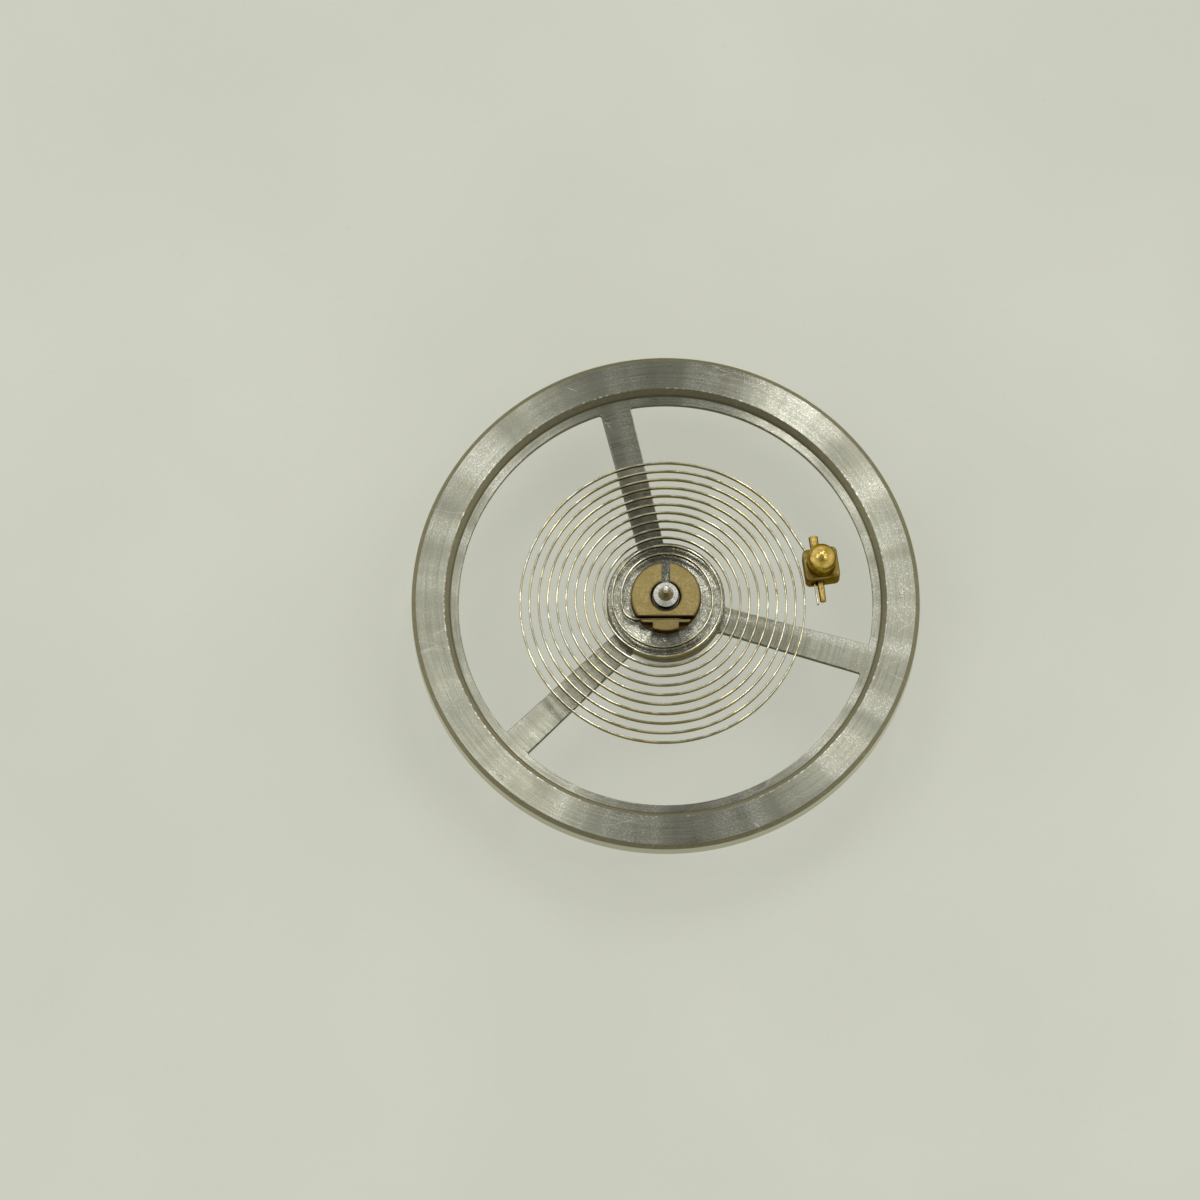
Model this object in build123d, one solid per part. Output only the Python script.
from build123d import *
from collections import namedtuple
import math
import os

# Balance of a wristwatch movement: wheel, staff, two rollers, impulse jewel, collet, balance spring and stud
# Millimetres and degrees, +Z up along the staff, origin at the tip of the lower pivot
# Turns are counted from +X, anticlockwise seen from above

# Wheel
wheel_d = 10.0
wheel_r = wheel_d / 2
rim_h = 0.50
rim_edge_w = 0.09
rim_edge_h = 0.08
rim_foot_edge = 0.06
rim_face_w = 0.56
rim_wall_w = 0.117
ledge_w = 0.16
arm_count = 3
arm_first_turn = 104.0
arm_inner_w = 0.51
arm_outer_w = 0.60
arm_t = 0.15
arm_corner_r = 0.09
arm_root_share = 0.8
hub_r = 1.16
hub_edge = 0.03

# Levels above the tip of the lower pivot
arm_top_z = 2.10
rim_rise = 0.20
hub_rise = 0.30
spring_rise = 0.44
collet_top_rise = 0.62
stud_top_rise = 0.74

# Staff
pivot_r = 0.055
pivot_len = 0.22
pivot_tip_r = 0.035
pivot_round = 0.02
lower_cone_r = 0.15
lower_cone_h = 0.16
roller_seat_r = 0.22
flange_r = 0.52
flange_h = 0.30
flange_edge = 0.04
flange_gap = 0.01
wheel_seat_r = 0.34
collet_seat_r = 0.275
collet_seat_share = 0.7
upper_neck_r = 0.245
upper_neck_rise = 0.10
upper_bevel_r = 0.15
upper_bevel_h = 0.05
staff_h = 3.35

# Rollers and impulse jewel, under the wheel
table_r = 1.02
table_h = 0.24
table_z = 1.16
roller_edge = 0.03
safety_r = 0.42
safety_h = 0.24
safety_z = 0.52
safety_sleeve_r = 0.32
passing_r = 0.15
passing_bite = 0.09
jewel_r = 0.15
jewel_flat = 0.05
jewel_wall = 0.09
jewel_z = 0.60
jewel_proud = 0.06
jewel_turn = 270.0
seat_clearance = 0.005

# Collet
collet_r = 0.69
collet_gap = 0.02
collet_fit = 0.01
slit_w = 0.17
slit_turn = 90.0
chord_y = 0.404
jaw_drop = 0.06
jaw_bar_w = 0.06
jaw_stem_w = 0.515
slot_floor = 0.04
slot_clearance = 0.01

# Balance spring
spring_t = 0.035
spring_w = 0.13
coil_turns = 11
coil_pitch = 0.1805
coil_drift = 0.0118
coil_start_r = 0.871
coil_start_y = 0.02
inner_bend_r = 0.25
inner_reach = 0.30
leaving_turn = 24.0
end_bend_r = 0.50

# Stud and its taper pin, along the length of the stud's hole
stud_turn = 8.5
stud_out = 0.222
stud_along = 0.33
stud_w = 0.68
stud_len = 0.63
stud_h = 0.54
stud_corner_r = 0.10
stud_edge = 0.03
post_r = 0.285
post_h = 0.38
stud_hole_r = 0.14
spring_line_x = -0.17
pin_x = -0.06
pin_thick_r = 0.095
pin_thin_r = 0.06
pin_thick_y = 0.627
pin_thin_y = -0.708
tail_y = -0.74

quarter = 90.0
half_turn = 180.0
full_turn = 360.0
quarters = int(full_turn / quarter)
cut_share = 2.0

# Levels that follow from the sizes above
arm_foot_z = arm_top_z - arm_t
rim_top_z = arm_top_z + rim_rise
rim_foot_z = rim_top_z - rim_h
hub_top_z = arm_top_z + hub_rise
spring_z = arm_top_z + spring_rise
spring_foot_z = spring_z - spring_w / 2
collet_foot_z = hub_top_z + collet_gap
collet_top_z = arm_top_z + collet_top_rise
stud_top_z = arm_top_z + stud_top_rise
stud_foot_z = stud_top_z - stud_h
slot_w = spring_t + 2 * slot_clearance
slot_y = chord_y + slot_w / 2
jewel_orbit = table_r - jewel_wall - jewel_r


def turned(outline):
    """Turn a half outline of (radius, height) points round the Z axis."""
    return revolve(Plane.XZ * make_face(Polyline(*outline, close=True)), Axis.Z)


def tube(outer_r, inner_r, foot_z, top_z, edge):
    """A ring with its outer edges broken."""
    return turned([
        (inner_r, foot_z),
        (outer_r - edge, foot_z),
        (outer_r, foot_z + edge),
        (outer_r, top_z - edge),
        (outer_r - edge, top_z),
        (inner_r, top_z),
    ])


def at_turn(radius, degrees):
    """The point at a radius and a turn."""
    angle = math.radians(degrees)
    return radius * math.cos(angle), radius * math.sin(angle)


def arm_outline(turn, inner_r, outer_r):
    """One arm seen from above, wider towards the rim."""
    corners = [
        (inner_r, -arm_inner_w / 2),
        (outer_r, -arm_outer_w / 2),
        (outer_r, arm_outer_w / 2),
        (inner_r, arm_inner_w / 2),
    ]
    return Rot(0, 0, turn) * make_face(Polyline(*corners, close=True))


def make_wheel():
    """Rim, ledge, three arms and raised hub, turned and cut from one blank."""
    face_r = wheel_r - rim_edge_w
    wall_r = face_r - rim_face_w
    ledge_r = wall_r - rim_wall_w
    opening_r = ledge_r - ledge_w
    rim = turned([
        (opening_r, arm_foot_z),
        (ledge_r, arm_foot_z),
        (wall_r, rim_foot_z),
        (wheel_r - rim_foot_edge, rim_foot_z),
        (wheel_r, rim_foot_z + rim_foot_edge),
        (wheel_r, rim_top_z - rim_edge_h),
        (face_r, rim_top_z),
        (wall_r, rim_top_z),
        (ledge_r, arm_top_z),
        (opening_r, arm_top_z),
    ])
    web = Circle(ledge_r) - Circle(opening_r) + Circle(hub_r)
    for number in range(arm_count):
        turn = arm_first_turn + full_turn / arm_count * number
        web += arm_outline(turn, hub_r * arm_root_share, ledge_r)
    nearest = hub_r * arm_root_share
    farthest = ledge_r - ledge_w / 2
    inner_corners = [corner for corner in web.vertices() if nearest < math.hypot(corner.X, corner.Y) < farthest]
    web = fillet(inner_corners, arm_corner_r)
    plate = Pos(0, 0, arm_foot_z) * extrude(web, arm_t)
    hub = turned([
        (0, arm_foot_z),
        (hub_r, arm_foot_z),
        (hub_r, hub_top_z - hub_edge),
        (hub_r - hub_edge, hub_top_z),
        (0, hub_top_z),
    ])
    bore = Pos(0, 0, arm_foot_z) * extrude(Circle(wheel_seat_r + seat_clearance), arm_t + hub_rise)
    return rim + plate + hub - bore


def make_staff():
    """The arbor with its two pivots, its cones, the wheel's flange and the collet's seat."""
    flange_top_z = arm_foot_z - flange_gap
    flange_foot_z = flange_top_z - flange_h
    seat_end_z = collet_foot_z + (collet_top_z - collet_foot_z) * collet_seat_share
    neck_top_z = collet_top_z + upper_neck_rise
    upper_shoulder_z = staff_h - pivot_len
    return turned([
        (0, 0),
        (pivot_tip_r, 0),
        (pivot_r, pivot_round),
        (pivot_r, pivot_len),
        (lower_cone_r, pivot_len + lower_cone_h),
        (roller_seat_r, pivot_len + lower_cone_h),
        (roller_seat_r, flange_foot_z),
        (flange_r - flange_edge, flange_foot_z),
        (flange_r, flange_foot_z + flange_edge),
        (flange_r, flange_top_z),
        (wheel_seat_r, flange_top_z),
        (wheel_seat_r, hub_top_z),
        (collet_seat_r, hub_top_z),
        (collet_seat_r, seat_end_z),
        (upper_neck_r, seat_end_z),
        (upper_neck_r, neck_top_z),
        (upper_bevel_r, neck_top_z + upper_bevel_h),
        (pivot_r, upper_shoulder_z),
        (pivot_r, staff_h - pivot_round),
        (pivot_tip_r, staff_h),
        (0, staff_h),
    ])


def jewel_outline(margin):
    """The half-round section of the impulse jewel, its flat facing away from the staff."""
    radius = jewel_r + margin
    flat_x = jewel_orbit + jewel_flat + margin
    disc = Pos(jewel_orbit, 0) * Circle(radius)
    beyond = Pos(flat_x + radius, 0) * Rectangle(2 * radius, cut_share * 2 * radius)
    return Rot(0, 0, jewel_turn) * (disc - beyond)


def make_roller_table():
    """The large roller, which holds the impulse jewel."""
    table = tube(table_r, roller_seat_r + seat_clearance, table_z, table_z + table_h, roller_edge)
    return table - Pos(0, 0, table_z) * extrude(jewel_outline(seat_clearance), table_h)


def make_safety_roller():
    """The small roller with its passing hollow, and the sleeve that spaces it from the large one."""
    bore_r = roller_seat_r + seat_clearance
    disc = tube(safety_r, bore_r, safety_z, safety_z + safety_h, roller_edge)
    sleeve_h = table_z - safety_z - seat_clearance
    sleeve = Pos(0, 0, safety_z) * extrude(Circle(safety_sleeve_r) - Circle(bore_r), sleeve_h)
    x, y = at_turn(safety_r + passing_r - passing_bite, jewel_turn)
    hollow = Pos(x, y, safety_z) * extrude(Circle(passing_r), safety_h)
    return disc - hollow + sleeve


def make_jewel():
    """The impulse jewel, standing through the large roller and down to the fork's level."""
    length = table_z + table_h + jewel_proud - jewel_z
    return Pos(0, 0, jewel_z) * extrude(jewel_outline(0), length)


def make_collet():
    """The split brass ring on the staff, with the slot and the lower jaw that hold the spring's inner end."""
    height = collet_top_z - collet_foot_z
    disc = Circle(collet_r)
    beyond_chord = Pos(0, -chord_y - collet_r) * Rectangle(2 * collet_r, 2 * collet_r)
    beyond_slot = Pos(0, -chord_y - slot_w - collet_r) * Rectangle(2 * collet_r, 2 * collet_r)
    bar_y = -chord_y - slot_w - jaw_bar_w / 2
    jaw_t = Pos(0, bar_y) * Rectangle(2 * collet_r, jaw_bar_w)
    jaw_t += Pos(0, bar_y - collet_r / 2) * Rectangle(jaw_stem_w, collet_r)
    main = extrude(disc - beyond_chord, height)
    jaw = extrude(disc & beyond_slot & jaw_t, height - jaw_drop)
    bridge_shape = disc & beyond_chord & (jaw_t + Pos(0, -slot_y) * Rectangle(2 * collet_r, slot_w))
    ring = main + jaw + extrude(bridge_shape, slot_floor)
    ring -= extrude(Circle(collet_seat_r + collet_fit), height)
    slit_x, slit_end_y = at_turn(collet_r / 2, slit_turn)
    slit = Pos(slit_x, slit_end_y) * (Rot(0, 0, slit_turn) * Rectangle(collet_r, slit_w))
    ring -= extrude(slit, height)
    return Pos(0, 0, collet_foot_z) * ring


Bow = namedtuple("Bow", "x y radius start angle")
Run = namedtuple("Run", "x0 y0 x1 y1")


def spring_path():
    """The middle line of the balance spring from the collet out to its tail: bows and runs that touch.

    A bow is an arc, given by its centre, its radius, the turn it starts at and the angle it covers. A run is
    straight, from one point to another. The coils go outward clockwise in quarter turns. At each join the
    centre steps away from the join, so the radius grows and the line stays smooth; the north steps are
    larger than the south ones by the drift."""
    x, y, radius = 0, coil_start_y, coil_start_r
    bend_y = inner_bend_r - slot_y
    bend_x = -math.sqrt((radius - inner_bend_r) ** 2 - (bend_y - y) ** 2)
    over = math.degrees(math.asin((y - bend_y) / (radius - inner_bend_r)))
    path = [Run(inner_reach, -slot_y, bend_x, -slot_y)]
    path.append(Bow(bend_x, bend_y, inner_bend_r, -quarter, over - quarter))
    path.append(Bow(x, y, radius, half_turn + over, -over - quarter))
    north = coil_pitch / quarters + coil_drift / 2
    south = coil_pitch / quarters - coil_drift / 2
    side = coil_pitch / quarters
    for turn in range(coil_turns):
        y, radius = y - north, radius + north
        path.append(Bow(x, y, radius, quarter, -quarter))
        x, radius = x - side, radius + side
        path.append(Bow(x, y, radius, 0, -quarter))
        y, radius = y + south, radius + south
        path.append(Bow(x, y, radius, -quarter, -quarter))
        x, radius = x + side, radius + side
        path.append(Bow(x, y, radius, half_turn, -quarter))
    y, radius = y - north, radius + north
    leave = stud_turn + leaving_turn
    path.append(Bow(x, y, radius, quarter, leave - quarter))
    return path + end_stretch(x, y, radius, leave)


def end_stretch(x, y, radius, leave):
    """The spring from its last coil to its tail: a straight run, a bend, then straight through the stud."""
    bend = math.radians(leaving_turn)
    gained = radius * math.cos(bend) + end_bend_r * (1 - math.cos(bend))
    run = (radius + stud_out + spring_line_x - gained) / math.sin(bend)
    leave_x, leave_y = at_turn(radius, leave)
    ahead_x, ahead_y = at_turn(run, leave - quarter)
    start = (x + leave_x, y + leave_y)
    corner = (start[0] + ahead_x, start[1] + ahead_y)
    back_x, back_y = at_turn(end_bend_r, leave)
    bend_x, bend_y = corner[0] - back_x, corner[1] - back_y
    from_x, from_y = at_turn(end_bend_r, stud_turn)
    tail = beside_coil(x, y, radius + stud_out + spring_line_x, stud_along + tail_y)
    return [
        Run(*start, *corner),
        Bow(bend_x, bend_y, end_bend_r, leave, -leaving_turn),
        Run(bend_x + from_x, bend_y + from_y, *tail),
    ]


def beside_coil(x, y, out, along):
    """A point given from a coil's centre: out towards the stud, and along the stud's hole."""
    out_x, out_y = at_turn(1, stud_turn)
    return x + out * out_x - along * out_y, y + out * out_y + along * out_x


def stud_place(path):
    """The stud's middle, beyond the last coil: the last bow before the one that leads to the stud."""
    coil = [piece for piece in path if isinstance(piece, Bow)][-2]
    return beside_coil(coil.x, coil.y, coil.radius + stud_out, stud_along)


def offset_edge(piece, side):
    """One bow or run of the path moved sideways: side is positive on the outside of the coils."""
    if isinstance(piece, Bow):
        return CenterArc((piece.x, piece.y), piece.radius + side, piece.start, piece.angle)
    x0, y0, x1, y1 = piece
    length = math.hypot(x1 - x0, y1 - y0)
    left_x, left_y = -(y1 - y0) / length * side, (x1 - x0) / length * side
    return Line((x0 + left_x, y0 + left_y), (x1 + left_x, y1 + left_y))


def make_spring(path):
    """The flat strip, standing on edge along the path."""
    outer = [offset_edge(piece, spring_t / 2) for piece in path]
    inner = [offset_edge(piece, -spring_t / 2) for piece in path]
    ends = [Line(outer[0] @ 0, inner[0] @ 0), Line(outer[-1] @ 1, inner[-1] @ 1)]
    strip = make_face(outer + inner + ends)
    return Pos(0, 0, spring_foot_z) * extrude(strip, spring_w)


def least_gap(path):
    """The least clear width between one coil and the next."""
    coils = [piece for piece in path if isinstance(piece, Bow) and piece.angle == -quarter]
    gaps = []
    for inner, outer in zip(coils, coils[quarters:]):
        x, y = at_turn(inner.radius, inner.start)
        far = math.hypot(inner.x + x - outer.x, inner.y + y - outer.y)
        gaps.append(outer.radius - far - spring_t)
    return min(gaps)


def make_stud(place):
    """The brass block that holds the spring's outer end, and the domed post that the cock clamps."""
    outline = RectangleRounded(stud_w, stud_len, stud_corner_r)
    block = Pos(0, 0, stud_foot_z) * extrude(outline, stud_h)
    block = chamfer(block.faces().sort_by(Axis.Z)[-1].edges(), stud_edge)
    post = Pos(0, 0, stud_top_z) * extrude(Circle(post_r), post_h)
    dome = Pos(0, 0, stud_top_z + post_h) * Sphere(post_r)
    mouth_r = pin_radius(stud_len / 2)
    hole_x = pin_x + mouth_r + seat_clearance - stud_hole_r
    hole = Pos(hole_x, 0, spring_z) * (Rot(quarter, 0, 0) * Cylinder(stud_hole_r, cut_share * stud_len))
    return Pos(*place, 0) * Rot(0, 0, stud_turn) * (block + post + dome - hole)


def pin_radius(along):
    """The taper pin's radius at a place along the stud's hole."""
    share = (along - pin_thin_y) / (pin_thick_y - pin_thin_y)
    return pin_thin_r + (pin_thick_r - pin_thin_r) * share


def make_stud_pin(place):
    """The brass taper pin that wedges the spring in the stud's hole."""
    from_end = (Align.CENTER, Align.CENTER, Align.MIN)
    pin = Cone(pin_thin_r, pin_thick_r, pin_thick_y - pin_thin_y, align=from_end)
    lying = Pos(pin_x, pin_thin_y, spring_z) * (Rot(-quarter, 0, 0) * pin)
    return Pos(*place, 0) * Rot(0, 0, stud_turn) * lying


def main():
    """Build every piece and write it to its own file."""
    path = spring_path()
    place = stud_place(path)
    pieces = {
        "balance_wheel": make_wheel(),
        "balance_staff": make_staff(),
        "roller_table": make_roller_table(),
        "safety_roller": make_safety_roller(),
        "impulse_jewel": make_jewel(),
        "collet": make_collet(),
        "hairspring": make_spring(path),
        "stud": make_stud(place),
        "stud_pin": make_stud_pin(place),
    }
    os.makedirs("parts", exist_ok=True)
    for name, shape in pieces.items():
        export_step(shape, f"parts/{name}.step")
        print(name, "solids", len(shape.solids()), "volume mm3", round(shape.volume, 5))
    print("least gap between coils, mm", round(least_gap(path), 4))
    print("stud's middle, mm", [round(value, 4) for value in place])


main()
